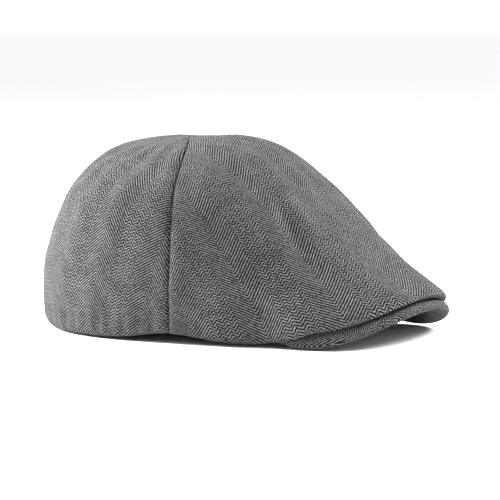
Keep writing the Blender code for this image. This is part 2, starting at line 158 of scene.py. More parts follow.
# --- Outlines -----------------------------------------------------------------------------------------
def ring_radius(azimuth, side, front, back, power):
    ahead = np.cos(azimuth)
    reach = np.where(ahead > 0, front, back)
    shape = np.where(ahead > 0, power, BACK_POWER)
    return (np.abs(ahead / reach) ** shape + np.abs(np.sin(azimuth) / side) ** shape) ** (-1 / shape)


def ring_height(azimuth, side, front, back):
    ahead = np.cos(azimuth)
    return side + (front - side) * np.maximum(ahead, 0) ** 2 + (back - side) * np.maximum(-ahead, 0) ** 2


def head_radius(azimuth, grow=0.0):
    """Distance from the apex axis to the head oval, grown outwards by `grow`."""
    a, b = HEAD_HALF_WIDTH + grow, HEAD_HALF_LENGTH + grow
    x, y = np.sin(azimuth) / a, -np.cos(azimuth) / b
    start = (APEX_Y - HEAD_CENTRE_Y) / b
    square = x * x + y * y
    return (-y * start + np.sqrt((y * start) ** 2 - square * (start * start - 1))) / square


def bill_edge_radius(azimuth):
    """Distance from the apex axis to the bill's edge, by bisection from a point inside the bill."""
    low = np.full_like(azimuth, 0.1)
    high = np.full_like(azimuth, 0.3)
    for _ in range(40):
        radius = (low + high) / 2
        x, y = plan_point(azimuth, radius)
        ahead = BILL_WIDEST_Y - y
        reach = np.where(ahead > 0, BILL_WIDEST_Y - BILL_TIP_Y, BILL_TAIL)
        inside = np.abs(x / BILL_HALF_WIDTH) ** BILL_POWER + np.abs(ahead / reach) ** BILL_POWER < 1
        low = np.where(inside, radius, low)
        high = np.where(inside, high, radius)
    return (low + high) / 2


def edge_slant(azimuth):
    """Distance along a ray for each unit of distance square to the bill's edge."""
    nudge = 1e-4
    turn = (bill_edge_radius(azimuth + nudge) - bill_edge_radius(azimuth - nudge)) / (2 * nudge)
    return np.sqrt(1 + (turn / bill_edge_radius(azimuth)) ** 2)


def bill_face(x, y, height=0.0):
    """Height of a layer of the bill, `height` above its middle layer along the normal."""
    middle = BILL_LIFT + NOSE_RADIUS + BILL_ARCH * (1 - (x / BILL_HALF_WIDTH) ** 2)
    middle = middle + BILL_PITCH * (y - BILL_WIDEST_Y)
    slope = 2 * BILL_ARCH * x / BILL_HALF_WIDTH ** 2
    return middle + height * np.sqrt(1 + slope ** 2 + BILL_PITCH ** 2)


def bill_root(azimuth, grow, height):
    """Height of a layer of the bill round the head, which sinks away past the bill's ends."""
    past_end = smoothstep((np.abs(azimuth) - ROOT_END) / ROOT_FADE)
    return bill_face(*plan_point(azimuth, head_radius(azimuth, grow)), height) - ROOT_SINK * past_end


def roll_height(azimuth):
    from_seam = (np.abs(azimuth) - CROSS_SEAM) / SEAM_NOTCH_WIDTH
    return ring_height(azimuth, **ROLL_HEIGHT) + SEAM_NOTCH * np.exp(-from_seam ** 2)


def lower_edge(azimuth):
    """The hem and the roll, as (radius, height) pairs: round the head behind, on top of the bill ahead."""
    turn = np.abs(azimuth)
    edge = bill_edge_radius(azimuth)
    ahead = turn < BILL_EMERGES + 0.2
    rim = ring_radius(azimuth, **ROLL)

    slant = np.where(ahead, edge_slant(np.minimum(turn, BILL_EMERGES)), 1.0)
    past_edge = edge + slant * (SHELL_THICKNESS + 0.0005)
    lift = 0.0022 * smoothstep((BILL_EMERGES - turn) / (BILL_EMERGES - BILL_CLEAR))
    outer_radius = np.where(ahead, soft_max(rim, past_edge, 0.0030), rim)
    outer_height = roll_height(azimuth) + lift
    hem_radius = head_radius(azimuth, BAND_THICKNESS + 0.0007)
    beside_bill = np.maximum(hem_radius, edge + slant * 0.0005)
    near_bill = smoothstep((BILL_EMERGES + HEM_SETTLED - turn) / HEM_SETTLING)
    hem_radius = hem_radius + near_bill * (beside_bill - hem_radius)
    hem_height = outer_height + HEM_RISE * smoothstep((outer_radius - hem_radius) / 0.006)

    top_radius = edge - slant * BILL_OVERLAP
    top_height = bill_face(*plan_point(azimuth, top_radius), NOSE_RADIUS + 0.0013)
    top_hem_radius = top_radius - slant * HEM_ON_BILL
    top_hem_height = bill_face(*plan_point(azimuth, top_hem_radius), NOSE_RADIUS + 0.0010)

    over_radius = edge + slant * 0.0030
    over_height = bill_face(*plan_point(azimuth, edge), NOSE_RADIUS + 0.0026)
    step = smoothstep((BILL_CLEAR - turn) / (BILL_CLEAR - BILL_COVERED))
    before, middle, after = (1 - step) ** 2, 2 * step * (1 - step), step ** 2
    roll = (before * outer_radius + middle * over_radius + after * top_radius,
            before * outer_height + middle * over_height + after * top_height)
    hem = (before * hem_radius + middle * (over_radius - SHELL_THICKNESS) + after * top_hem_radius,
           before * hem_height + middle * over_height + after * top_hem_height)
    return hem, roll


def crown_rings(azimuth):
    """Radii and heights of the crown's seven rings, from the hem to the apex."""
    hem, roll = lower_edge(azimuth)
    girth = (ring_radius(azimuth, **GIRTH), ring_height(azimuth, **GIRTH_HEIGHT))
    wall = (roll[0] + WALL_BULGE * (np.maximum(girth[0], roll[0] + 0.001) - roll[0]),
            roll[1] + WALL_RISE * (girth[1] - roll[1]))
    shoulder = (ring_radius(azimuth, **SHOULDER), ring_height(azimuth, **SHOULDER_HEIGHT))
    capping = (ring_radius(azimuth, **CAPPING), ring_height(azimuth, **CAPPING_HEIGHT))
    apex = (np.zeros_like(azimuth), np.full_like(azimuth, APEX_HEIGHT))
    rings = (hem, roll, wall, girth, shoulder, capping, apex)
    return np.array([ring[0] for ring in rings]), np.array([ring[1] for ring in rings])


def catmull_rom(values, step, beyond):
    """Smooth curve through ring values; `beyond` is the value one ring past the apex."""
    table = np.concatenate([2 * values[:1] - values[1:2], values, beyond[None]])
    whole = np.minimum(step.astype(int), len(values) - 2)
    part = step - whole
    a, b, c, d = (np.take_along_axis(table, (whole + k)[None], 0)[0] for k in range(4))
    return 0.5 * (2 * b + (c - a) * part + (2 * a - 5 * b + 4 * c - d) * part ** 2
                  + (3 * b - a - 3 * c + d) * part ** 3)


def crown_profile(azimuth, step):
    azimuth, step = np.broadcast_arrays(np.asarray(azimuth, float), np.asarray(step, float))
    radii, heights = crown_rings(azimuth.ravel())
    radius = catmull_rom(radii, step.ravel(), -radii[-2])
    height = np.maximum(catmull_rom(heights, step.ravel(), heights[-2]), 0.0)
    return radius.reshape(step.shape), height.reshape(step.shape)


def crown_base(azimuth, step):
    """The crown's outer face without its creases, and its outward normal."""
    def outer(a, s):
        radius, height = crown_profile(a, s)
        return np.stack([*plan_point(a, radius), height], -1)

    azimuth, step = np.broadcast_arrays(np.asarray(azimuth, float), np.asarray(step, float))
    nudge = 2e-3
    along = outer(azimuth, step + nudge) - outer(azimuth, step - nudge)
    across = outer(azimuth + nudge, step) - outer(azimuth - nudge, step)
    return outer(azimuth, step), normalised(np.cross(across, along))


def cross_seam_azimuth(step):
    """Azimuth of the cross seam, which turns square across the cap near the apex, and its radius."""
    radius = crown_profile(np.full_like(step, CROSS_SEAM), step)[0]
    return CROSS_SEAM + (math.pi / 2 - CROSS_SEAM) * np.exp(-(radius / CROSS_SEAM_EASE) ** 2), radius


def seam_margin(radius, width):
    return np.arcsin(np.minimum(width / radius, 0.9))


def front_columns(step, shares, margin):
    seam, radius = cross_seam_azimuth(step)
    return (seam - seam_margin(radius, margin))[:, None] * shares[None, :]


def back_columns(step, shares, margin, side):
    seam, radius = cross_seam_azimuth(step)
    angle = seam_margin(radius, margin)
    start, stop = seam + angle, math.pi - angle
    columns = start[:, None] + (stop - start)[:, None] * shares[None, :]
    return columns if side > 0 else -columns[:, ::-1]


def eased(count):
    """Shares from 0 to 1 that crowd towards both ends, for the seams."""
    share = np.linspace(0, 1, count)
    return 0.55 * share + 0.45 * smoothstep(share)


# --- Creases of the crown -----------------------------------------------------------------------------
# Depth and width of the two seams' grooves, and height, distance and width of the rolls beside them
CROSS_GROOVE = (-0.0018, 0.0011, 0.0004, 0.0055, 0.0036)
BACK_GROOVE = (-0.0017, 0.0012, 0.0005, 0.0055, 0.0036)
APEX_DIMPLE = (-0.0024, 0.0100)         # outward height and width
# (azimuth, height, width across, width up, outward height), degrees and millimetres
FOLDS = [
    (-26.5, 68, 5.0, 15, -2.6),
    (-19.5, 66, 6.5, 17, 1.9),
    (-33.0, 60, 7.0, 18, 1.2),
    (24.0, 70, 5.5, 14, -1.2),
    (31.0, 64, 7.0, 17, 0.9),
    (-47.0, 30, 9.0, 14, -1.1),
    (46.0, 28, 9.0, 15, -1.2),
    (-60.0, 52, 6.0, 22, -0.5),
    (100.0, 46, 9.0, 24, -0.7),
    (-104.0, 52, 9.0, 22, -0.6),
    (146.0, 60, 10.0, 20, 0.8),
    (-140.0, 40, 11.0, 18, -0.7),
]
# (azimuth, width, nearest, furthest, outward height) of puckers that run out from the apex
PUCKERS = [
    (-41.0, 8.0, 12, 82, 2.3),
    (-21.0, 9.0, 10, 62, -3.4),
    (-2.0, 8.0, 14, 52, 0.8),
    (19.0, 8.0, 10, 55, -1.6),
    (38.0, 8.0, 12, 66, 1.1),
    (112.0, 9.0, 10, 50, -0.9),
    (-120.0, 9.0, 10, 56, -0.9),
    (-92.0, 6.5, 10, 46, 0.9),
    (90.0, 6.5, 10, 44, 0.7),
]


def groove(distance, depth, width, roll, roll_distance, roll_width):
    """Outward height at a distance from a seam: a groove along it with a low roll on each side."""
    return depth * bump(distance, width) + roll * bump(distance - roll_distance, roll_width)


def creases(azimuth, points):
    """Outward height of seams, puckers and folds at points of the crown, in metres."""
    x, y, z = np.moveaxis(points, -1, 0)
    out = np.hypot(x, y - APEX_Y)
    turn = np.abs(azimuth)
    seam = CROSS_SEAM + (math.pi / 2 - CROSS_SEAM) * np.exp(-(out / CROSS_SEAM_EASE) ** 2)

    beside_cross = np.abs(turn - seam) * out
    beside_back = (math.pi - turn) * out
    near_apex = 0.35 + 0.65 * smoothstep((out - 0.010) / 0.035)
    total = groove(beside_cross, *CROSS_GROOVE) * near_apex
    total += groove(beside_back, *BACK_GROOVE) * near_apex
    total += APEX_DIMPLE[0] * bump(out, APEX_DIMPLE[1])

    for angle, width, near, far, height in PUCKERS:
        across = np.abs((azimuth - math.radians(angle) + math.pi) % (2 * math.pi) - math.pi) * (out + 0.010)
        reach = smoothstep((out * 1000 - near) / 14) * smoothstep((far - out * 1000) / 26)
        total += height / 1000 * bump(across * 1000, width) * reach
    for angle, up, width, tall, height in FOLDS:
        across = np.abs(azimuth - math.radians(angle)) * out * 1000
        total += height / 1000 * bump(across, width) * bump(z * 1000 - up, tall)

    # Slow waves of unpressed cloth, and gathers along the hem behind the bill
    wall = smoothstep(z / 0.012) * smoothstep((out - 0.02) / 0.03)
    total += 0.00045 * wall * np.sin(23 * azimuth + 90 * z) * np.sin(140 * z + 3 * azimuth + 0.7)
    total += 0.00040 * wall * np.sin(9 * azimuth - 62 * z + 1.9) * np.cos(11 * azimuth + 0.4)
    total += 0.00035 * bump(z - 0.008, 0.010) * np.sin(58 * azimuth) * (turn > BILL_EMERGES)
    return total


def crown_surface(azimuth, step):
    """The crown's outer face with its creases, the same face without them, and its outward normal."""
    points, normal = crown_base(azimuth, step)
    depth = creases(np.broadcast_to(azimuth, points.shape[:-1]), points)
    above_hem = smoothstep(np.broadcast_to(step, depth.shape) - 0.6)
    return points + normal * (depth * above_hem)[..., None], points, normal


# --- Meshes -------------------------------------------------------------------------------------------
def cloth(name, outer, inner, pattern, closed=False):
    """A closed cloth piece from the grids of its two faces, with a UV map of cloth coordinates."""
    rows, columns = outer.shape[:2]
    count = rows * columns
    index = np.arange(count).reshape(rows, columns)
    following = np.roll(index, -1, axis=1)
    last = columns if closed else columns - 1
    low, right = index[:-1, :last], following[:-1, :last]
    top, top_right = index[1:, :last], following[1:, :last]
    front = np.stack([low, right, top_right, top], -1).reshape(-1, 4)
    faces = [front, front[:, ::-1] + count]
    for a, b in ((index[0, :last], following[0, :last]), (following[-1, :last], index[-1, :last])):
        faces.append(np.stack([b, a, a + count, b + count], -1))
    if not closed:
        for a, b in ((index[1:, 0], index[:-1, 0]), (index[:-1, -1], index[1:, -1])):
            faces.append(np.stack([b, a, a + count, b + count], -1))
    faces = np.concatenate(faces)
    points = np.concatenate([outer.reshape(-1, 3), inner.reshape(-1, 3)])
    mesh = bpy.data.meshes.new(name)
    mesh.from_pydata(points.tolist(), [], faces.tolist())
    layer = mesh.uv_layers.new(name="cloth")
    places = np.concatenate([pattern.reshape(-1, 2)] * 2)
    corners = np.empty(len(mesh.loops), int)
    mesh.loops.foreach_get("vertex_index", corners)
    layer.data.foreach_set("uv", places[corners].ravel())
    mesh.shade_smooth()
    mesh.set_sharp_from_angle(angle=math.radians(70))
    made = bpy.data.objects.new(name, mesh)
    bpy.context.collection.objects.link(made)
    return made


def finish_piece(piece, look, body, nodes):
    piece.data.materials.append(look)
    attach(piece, body)
    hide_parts(*nodes)
    return piece


# --- Node materials -----------------------------------------------------------------------------------
class Nodes:
    """A short way to write a node tree."""

    def __init__(self, name):
        self.material = bpy.data.materials.new(name)
        self.material.use_nodes = True
        self.tree = self.material.node_tree
        self.shader = self.tree.nodes["Principled BSDF"]

    def add(self, kind, inputs=None, output=0, **settings):
        node = self.tree.nodes.new("ShaderNode" + kind)
        for key, value in settings.items():
            setattr(node, key, value)
        for key, value in (inputs or {}).items():
            self.connect(value, node.inputs[key])
        return node.outputs[output]

    def connect(self, value, socket):
        if isinstance(value, bpy.types.NodeSocket):
            self.tree.links.new(value, socket)
        else:
            socket.default_value = value

    def math(self, operation, *values):
        return self.add("Math", dict(enumerate(values)), operation=operation)

    def mix(self, share, a, b):
        return self.add("Mix", {0: share, 6: a, 7: b}, output=2, data_type="RGBA")

    def noise(self, vector, scale, detail=3.0, roughness=0.55):
        return self.add("TexNoise", {"Vector": vector, "Scale": scale, "Detail": detail,
                                     "Roughness": roughness})

    def stretched(self, u, v, across, along):
        return self.add("CombineXYZ", {0: self.math("MULTIPLY", u, across),
                                       1: self.math("MULTIPLY", v, along)})

    def bump(self, height, distance, strength=1.0):
        return self.add("Bump", {"Height": height, "Distance": distance, "Strength": strength})

    def surface(self, colour, roughness, normal=None, **constants):
        self.connect(colour, self.shader.inputs["Base Color"])
        self.connect(roughness, self.shader.inputs["Roughness"])
        if normal is not None:
            self.connect(normal, self.shader.inputs["Normal"])
        for key, value in constants.items():
            self.shader.inputs[key.replace("_", " ").title().replace("Ior", "IOR")].default_value = value
        return self.material


def grey(value, blue=1.02):
    return (value, value, value * blue, 1.0)


def herringbone(name, dark, light, sheen):
    """Variegated herringbone: light twill lines on charcoal, in wide and narrow strips."""
    n = Nodes(name)
    uv = n.add("UVMap", uv_map="cloth")
    split = n.tree.nodes.new("ShaderNodeSeparateXYZ")
    n.tree.links.new(uv, split.inputs[0])
    u, v = split.outputs[0], split.outputs[1]
    wander = n.noise(uv, 0.35, 2.0)
    u = n.math("ADD", u, n.math("MULTIPLY", n.math("SUBTRACT", wander, 0.5), 0.25))

    place = n.math("FLOORED_MODULO", u, REPEAT)
    wide = n.math("SUBTRACT", WIDE_STRIP, n.math("ABSOLUTE", n.math("SUBTRACT", place, WIDE_STRIP)))
    beyond = n.math("SUBTRACT", place, 2 * WIDE_STRIP)
    narrow = n.math("PINGPONG", beyond, NARROW_STRIP)
    in_narrow = n.math("GREATER_THAN", beyond, 0.0)
    climb = n.math("ADD", wide, n.math("MULTIPLY", in_narrow, n.math("SUBTRACT", narrow, wide)))
    jitter = n.math("MULTIPLY", n.math("SUBTRACT", n.noise(uv, 1.3, 2.0), 0.5), 0.6)
    phase = n.math("DIVIDE", n.math("ADD", n.math("ADD", v, climb), jitter), TWILL_PITCH)
    wave = n.math("COSINE", n.math("MULTIPLY", phase, 2 * math.pi))
    line = n.add("MapRange", {"Value": wave, "From Min": -0.45, "From Max": 0.8},
                 interpolation_type="SMOOTHSTEP")

    yarn = n.add("TexWhiteNoise", {"W": n.math("FLOOR", phase)}, noise_dimensions="1D")
    tufts = n.noise(uv, 0.9, 4.0, 0.75)
    melange = n.add("MapRange", {"Value": tufts, "From Min": 0.36, "From Max": 0.64, "To Min": 0.0,
                                 "To Max": 1.75})
    threads = n.math("COSINE", n.math("MULTIPLY", u, 2 * math.pi / 0.62))
    steps = n.add("MapRange", {"Value": threads, "From Min": -1.0, "From Max": 1.0, "To Min": 0.8,
                               "To Max": 1.08})
    strength = n.math("MULTIPLY", n.math("MULTIPLY", line, melange), steps)
    strength = n.math("MULTIPLY", strength, n.math("ADD", n.math("MULTIPLY", yarn, 0.35), 0.8))
    cloudy = n.add("MapRange", {"Value": n.noise(uv, 0.07, 3.0), "From Min": 0.3, "From Max": 0.7,
                                "To Min": 0.88, "To Max": 1.1})
    fleck = n.add("MapRange", {"Value": n.noise(n.stretched(u, v, 3.0, 1.2), 1.0, 2.0), "From Min": 0.62,
                               "From Max": 0.72, "To Min": 0.0, "To Max": 0.6})
    colour = n.mix(strength, grey(dark), grey(light))
    colour = n.mix(fleck, colour, grey(light * 1.1))
    shade = n.add("CombineXYZ", {0: cloudy, 1: cloudy, 2: cloudy})
    colour = n.add("Mix", {0: 1.0, 6: colour, 7: shade}, output=2, data_type="RGBA", blend_type="MULTIPLY")

    fibre = n.noise(n.stretched(u, v, 5.0, 2.0), 1.0, 4.0, 0.7)
    relief = n.math("ADD", n.math("MULTIPLY", line, 0.00016), n.math("MULTIPLY", fibre, 0.00022))
    relief = n.math("ADD", relief, n.math("MULTIPLY", tufts, 0.00012))
    rough = n.add("MapRange", {"Value": fibre, "To Min": 0.85, "To Max": 1.0})
    return n.surface(colour, rough, n.bump(relief, 1.0), sheen_weight=sheen, sheen_roughness=0.4,
                     specular_ior_level=0.08)


def plain_weave(name, dark, light, thread, roughness, sheen=0.0, diagonal=0.0, tint=1.02):
    """Fine woven cloth: threads of a width in millimetres, run diagonally for twill."""
    n = Nodes(name)
    uv = n.add("UVMap", uv_map="cloth")
    split = n.tree.nodes.new("ShaderNodeSeparateXYZ")
    n.tree.links.new(uv, split.inputs[0])
    u, v = split.outputs[0], split.outputs[1]
    slant = n.math("ADD", u, n.math("MULTIPLY", v, diagonal))
    warp = n.math("SINE", n.math("MULTIPLY", slant, 2 * math.pi / thread))
    weft = n.math("SINE", n.math("MULTIPLY", v, 2 * math.pi / (thread * (3.0 if diagonal else 1.0))))
    weft_share = 0.18 if diagonal else 0.5
    weave = n.math("ADD", n.math("MULTIPLY", warp, 0.5), n.math("MULTIPLY", weft, weft_share))
    cloudy = n.noise(uv, 0.12, 4.0)
    level = n.math("ADD", n.math("MULTIPLY", n.math("ADD", weave, 1.0), 0.32),
                   n.math("MULTIPLY", cloudy, 0.5))
    colour = n.mix(level, grey(dark, tint), grey(light, tint))
    relief = n.math("ADD", n.math("MULTIPLY", weave, thread * 0.00008),
                    n.math("MULTIPLY", n.noise(uv, 0.6, 3.0), 0.0002))
    rough = n.add("MapRange", {"Value": cloudy, "To Min": roughness - 0.08,
                               "To Max": min(roughness + 0.1, 1.0)})
    return n.surface(colour, rough, n.bump(relief, 1.0), sheen_weight=sheen)


def solid_look(name, dark, light, roughness, grain, relief, tint=1.0):
    """Foam, plastic and hidden layers: a grained surface in object coordinates."""
    n = Nodes(name)
    where = n.add("TexCoord", output="Object")
    cloud = n.noise(where, grain, 5.0, 0.6)
    colour = n.mix(cloud, grey(dark, tint), grey(light, tint))
    rough = n.add("MapRange", {"Value": cloud, "To Min": roughness - 0.06,
                               "To Max": min(roughness + 0.08, 1.0)})
    return n.surface(colour, rough, n.bump(n.math("MULTIPLY", cloud, relief), 1.0))


def thread_look(name, dark, light):
    """Spun sewing thread, twisted along its length."""
    n = Nodes(name)
    where = n.add("TexCoord", output="Object")
    twist = n.add("TexWave", {"Vector": where, "Scale": 900.0, "Distortion": 3.0, "Detail": 2.0})
    colour = n.mix(n.math("MULTIPLY", twist, 1.0), grey(dark), grey(light))
    return n.surface(colour, 0.55, n.bump(n.math("MULTIPLY", twist, 0.00006), 1.0), sheen_weight=0.2)


# --- Crown --------------------------------------------------------------------------------------------
PANEL_STEPS = np.concatenate([np.linspace(0, 1, 16)[:-1], np.linspace(1, 2, 22)[:-1],
                              np.linspace(2, 5, 62)[:-1], np.linspace(5, LAST_STEP, 30)])
SEAM_GAP = 0.0001


def unroll(points, direction):
    """Distance in millimetres along a field of unit directions over a grid of points.

    Least squares fit its steps along the grid's edges to the field, by conjugate gradients.
    """
    def lengths(axis):
        return np.maximum(np.linalg.norm(np.diff(points, axis=axis), axis=-1), 1e-5)

    up, right = lengths(0), lengths(1)
    tall = (np.pad(up, ((1, 0), (0, 0)), "edge") + np.pad(up, ((0, 1), (0, 0)), "edge")) / 2
    wide = (np.pad(right, ((0, 0), (1, 0)), "edge") + np.pad(right, ((0, 0), (0, 1)), "edge")) / 2
    weights = [(wide[1:] + wide[:-1]) / 2 / up, (tall[:, 1:] + tall[:, :-1]) / 2 / right]
    targets = []
    for axis in (0, 1):
        ahead = np.diff(points, axis=axis)
        middle = (np.delete(direction, 0, axis) + np.delete(direction, -1, axis)) / 2
        targets.append(np.sum(middle * ahead, -1))

    def gather(flows):
        total = np.zeros(points.shape[:2])
        total[1:] += flows[0]
        total[:-1] -= flows[0]
        total[:, 1:] += flows[1]
        total[:, :-1] -= flows[1]
        return total

    def apply(field):
        return gather([weights[axis] * np.diff(field, axis=axis) for axis in (0, 1)])

    diagonal = np.zeros(points.shape[:2])
    for axis, weight in enumerate(weights):
        for ends in ((1, 0), (0, 1)):
            pad = [(0, 0), (0, 0)]
            pad[axis] = ends
            diagonal += np.pad(weight, pad)
    answer = np.zeros(points.shape[:2])
    rest = gather([weights[axis] * targets[axis] for axis in (0, 1)])
    scaled = rest / diagonal
    search, energy = scaled, np.sum(rest * scaled)
    for _ in range(FIT_ROUNDS):
        pushed = apply(search)
        step = energy / np.sum(search * pushed)
        answer = answer + step * search
        rest = rest - step * pushed
        scaled = rest / diagonal
        energy, before = np.sum(rest * scaled), energy
        search = scaled + energy / before * search
    return answer * 1000


def strips(points, normal, downward):
    """Distances across and down the strips of a cloth whose strips run roughly along `downward`."""
    turned_under = smoothstep(0.2 - 2 * normal[..., 2:])
    column = -normalised(np.gradient(points, axis=0))
    downward = np.array(downward) * (1 - turned_under) + column * turned_under
    down = normalised(downward - np.sum(downward * normal, -1, keepdims=True) * normal)
    return unroll(points, np.cross(normal, down)), unroll(points, down)


def nearest(points, place):
    """Row and column of the grid point nearest to a place."""
    return np.unravel_index(np.argmin(np.linalg.norm(points - np.array(place), axis=-1)), points.shape[:2])


def front_pattern(points, normal):
    """Cloth coordinates on the front panel, whose strips run forward and down from the cross seam."""
    u, v = strips(points, normal, FRONT_GRAIN)
    return np.stack([u - u[nearest(points, FRONT_SPINE)] + WIDE_STRIP, -v], -1)


def back_pattern(points, normal, side):
    """Cloth coordinates on a back panel, whose strips run down its middle."""
    u, v = strips(points, normal, (side * BACK_GRAIN[0], BACK_GRAIN[1], BACK_GRAIN[2]))
    seam_foot = nearest(points, (side * SEAM_FOOT[0], SEAM_FOOT[1], SEAM_FOOT[2]))
    return np.stack([-side * (u - u[seam_foot]) + BACK_SPINE + WIDE_STRIP, v], -1)


def crown_panels(look):
    steps = PANEL_STEPS
    middle_out = eased(84)
    layouts = {
        "front_panel": front_columns(steps, np.concatenate([-middle_out[:0:-1], middle_out]), SEAM_GAP),
        "back_panel_left": back_columns(steps, eased(120), SEAM_GAP, +1),
        "back_panel_right": back_columns(steps, eased(120), SEAM_GAP, -1),
    }
    for name, azimuth in layouts.items():
        outer, base, normal = crown_surface(azimuth, steps[:, None])
        inner = outer - SHELL_THICKNESS * normal
        outer[..., 2] = np.maximum(outer[..., 2], 0.0)
        inner[..., 2] = np.maximum(inner[..., 2], 0.0003)
        if name == "front_panel":
            pattern = front_pattern(base, normal)
        else:
            pattern = back_pattern(base, normal, +1 if name.endswith("left") else -1)
        piece = cloth(name + "_cloth", outer, inner, pattern)
        finish_piece(piece, look, "cap", [name])


# --- Lining -------------------------------------------------------------------------------------------
def lining_bottom(azimuth):
    """Height where the lining starts, above the hem and above the bill's root."""
    over_bill = bill_root(azimuth, LINING_CLEAR, NOSE_RADIUS)
    return soft_max(roll_height(azimuth) + 0.0095, over_bill + 0.0025, 0.002)


def lining_columns(azimuth, steps, share):
    """Lining points, one column for each column of azimuths, at shares of the way up to the apex."""
    base, normal = crown_base(azimuth, steps[:, None])
    points = base - LINING_DEPTH * normal
    radius = np.hypot(points[..., 0], points[..., 1] - APEX_Y)
    turn = np.arctan2(points[..., 0], APEX_Y - points[..., 1])
    limit = head_radius(turn, BAND_THICKNESS + LINING_CLEAR)
    points[..., 0], points[..., 1] = plan_point(turn, soft_min(radius, limit, 0.0008))
    columns = []
    for column in np.moveaxis(points, 1, 0):
        ahead = np.arctan2(column[0, 0], APEX_Y - column[0, 1])
        start = np.interp(lining_bottom(np.array([ahead]))[0], column[:, 2], np.arange(len(column)))
        length = np.concatenate([[0], np.cumsum(np.linalg.norm(np.diff(column, axis=0), axis=1))])
        first = np.interp(start, np.arange(len(column)), length)
        places = first + (length[-1] - first) * share
        columns.append([[np.interp(place, length, column[:, axis]) for axis in range(3)] for place in places])
    return np.moveaxis(np.array(columns), 0, 1)


def lining_pattern(points):
    climb = np.linalg.norm(np.diff(points, axis=0), axis=-1)
    along = np.concatenate([np.zeros((1, points.shape[1])), np.cumsum(climb, axis=0)])
    turn = np.arctan2(points[..., 0], APEX_Y - points[..., 1])
    return np.stack([turn * 85, along * 1000], -1)


def lining(look):
    share = np.linspace(0, 1, 60)
    steps = np.linspace(0.8, LAST_STEP, 160)
    pieces = {
        "lining_front": front_columns(steps, np.linspace(-1, 1, 101), SEAM_GAP),
        "lining_back_left": back_columns(steps, np.linspace(0, 1, 71), SEAM_GAP, +1),
        "lining_back_right": back_columns(steps, np.linspace(0, 1, 71), SEAM_GAP, -1),
    }
    for name, azimuth in pieces.items():
        outer = lining_columns(azimuth, steps, share)
        normal = grid_normals(outer)
        turn = np.arctan2(outer[..., 0], APEX_Y - outer[..., 1])
        loose = smoothstep(share / 0.25)[:, None] * smoothstep((1 - share) / 0.3)[:, None]
        ripple = np.sin(17 * turn + 60 * outer[..., 2]) * np.sin(7 * turn + 31 * outer[..., 2] + 1.0)
        gather = bump(share[:, None] - 0.02, 0.10) * np.sin(74 * turn)
        inward = 0.0006 * (1 + ripple) * loose + 0.0003 * (1 + gather) * smoothstep(share / 0.05)[:, None]
        outer = outer - normal * inward[..., None]
        piece = cloth(name + "_satin", outer, outer - LINING_THICKNESS * normal, lining_pattern(outer))
        finish_piece(piece, look, "cap", [name])


# --- Sweatband, elastic and padding -------------------------------------------------------------------
def band_bottom(azimuth):
    """Lower edge of the sweatband: at the hem behind, at the bill's root ahead."""
    return soft_max(roll_height(azimuth) + HEM_RISE - 0.001, bill_root(azimuth, 0.0, -NOSE_RADIUS), 0.0015)


def band_grid(azimuth, rises, outwards):
    """Points of a band round the head at heights above its lower edge, `outwards` from the head oval."""
    bottom = band_bottom(azimuth)
    rows = []
    for rise, out in zip(rises, outwards):
        x, y = plan_point(azimuth, head_radius(azimuth, out))
        rows.append(np.stack([x, y, bottom + rise], -1))
    return np.array(rows)


def band_pattern(azimuth, rises):
    return np.stack(np.broadcast_arrays(azimuth[None, :] * 90, np.asarray(rises)[:, None] * 1000), -1)


def full_turn(count):
    azimuth = np.linspace(0, 2 * math.pi, count, endpoint=False)
    return np.where(azimuth > math.pi, azimuth - 2 * math.pi, azimuth)


def sweatband(look, thread):
    azimuth = full_turn(420)
    rises = BAND_HEIGHT * smoothstep(np.linspace(0, 1, 22)) ** 0.85
    behind = smoothstep((np.abs(azimuth) - math.radians(122)) / math.radians(14))
    gathers = behind * np.sin(azimuth * 66)
    outer, inner = [], []
    for rise in rises:
        up = rise / BAND_HEIGHT
        belly = 0.0004 * math.sin(math.pi * up) + 0.0005 * bump(up, 0.10)
        middle = 0.5 * BAND_THICKNESS - belly + 0.00025 * gathers * math.sin(math.pi * min(up * 1.3, 1))
        half = 0.5 * BAND_THICKNESS * min(1.0, 0.35 + 8 * up, 0.35 + 8 * (1 - up))
        outer.append(middle + half)
        inner.append(middle - half)
    piece = cloth("sweatband_twill", band_grid(azimuth, rises, outer), band_grid(azimuth, rises, inner),
                  band_pattern(azimuth, rises), closed=True)
    finish_piece(piece, look, "cap", ["sweatband"])
    stitches("sweatband_stitches", band_route, 0.0030, thread, "sweatband_stitch")


def band_route(azimuth):
    x, y = plan_point(azimuth, head_radius(azimuth, -0.0004))
    return np.stack([x, y, band_bottom(azimuth) + 0.0016], -1)


